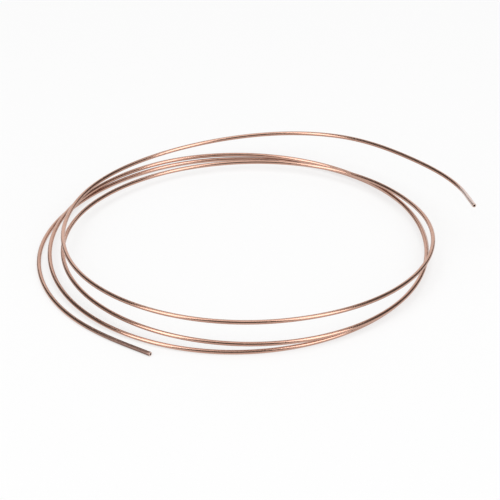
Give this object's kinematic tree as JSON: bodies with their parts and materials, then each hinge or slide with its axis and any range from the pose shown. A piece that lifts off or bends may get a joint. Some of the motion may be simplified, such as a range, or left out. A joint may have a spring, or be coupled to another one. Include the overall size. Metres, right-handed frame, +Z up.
{
  "type": "capillary tube",
  "caption": "Loose hand-wound coil of thin copper capillary tube with a fine bore and plain cut ends, for metering refrigerant into an evaporator.",
  "frame": {"origin": "on the floor, under the middle of the coil's outline", "axes": "+Z up out of the coil's plane, +X towards the side where the upper end leaves the coil, -Y towards the lower end"},
  "size_m": [0.2426, 0.2226, 0.0269],
  "materials": {
    "copper": "bright drawn copper, lightly dulled by handling"
  },
  "bodies": {
    "root": {"capillary_tube": "copper"}
  },
  "joints": []
}
